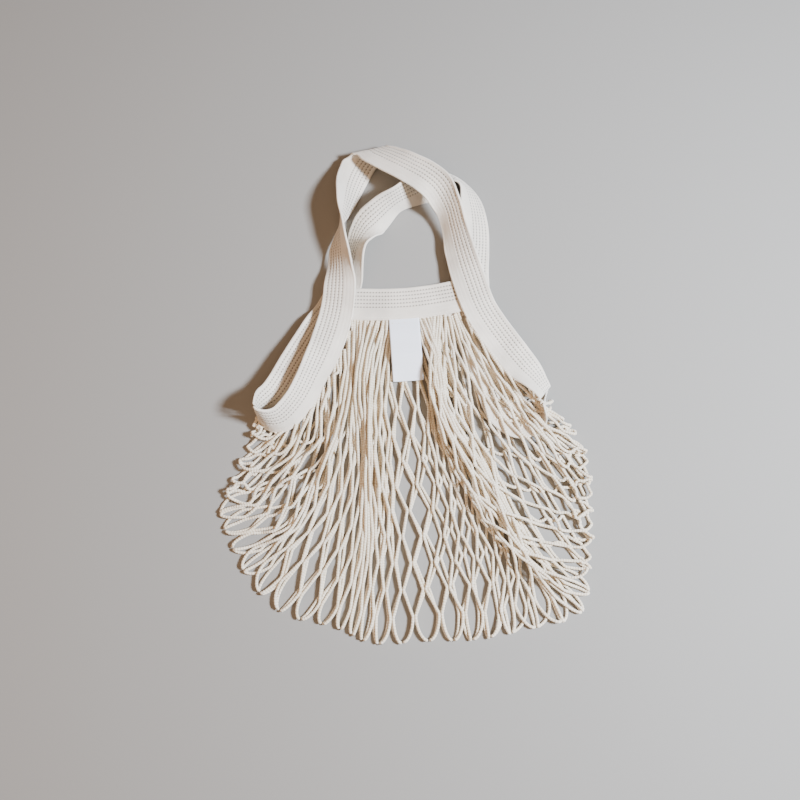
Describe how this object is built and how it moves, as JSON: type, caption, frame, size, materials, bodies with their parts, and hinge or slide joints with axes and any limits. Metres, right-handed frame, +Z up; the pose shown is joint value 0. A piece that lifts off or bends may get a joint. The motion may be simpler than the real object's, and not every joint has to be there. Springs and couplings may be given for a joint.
{
  "type": "net shopping bag",
  "caption": "Cotton net shopping bag lying empty on its back, its mouth bound in knitted tape that rises into short carrying handles, with cross bands and a plain label.",
  "frame": {"origin": "on the floor under the middle of the lying bag's box", "axes": "+Z up from the floor, +Y from the bottom of the bag towards the handles, +X to the right as seen from the front"},
  "size_m": [0.3599, 0.5106, 0.043],
  "materials": {
    "cotton_tape": "knitted off-white cotton tape with lengthwise rows of stitches",
    "cotton_yarn": "chain-knitted ecru cotton cord",
    "satin_label": "smooth white satin ribbon, bare"
  },
  "bodies": {
    "root": {"front_handle": "cotton_tape", "back_handle": "cotton_tape", "front_band": "cotton_tape", "back_band": "cotton_tape", "label": "satin_label", "net": "cotton_yarn"}
  },
  "joints": []
}
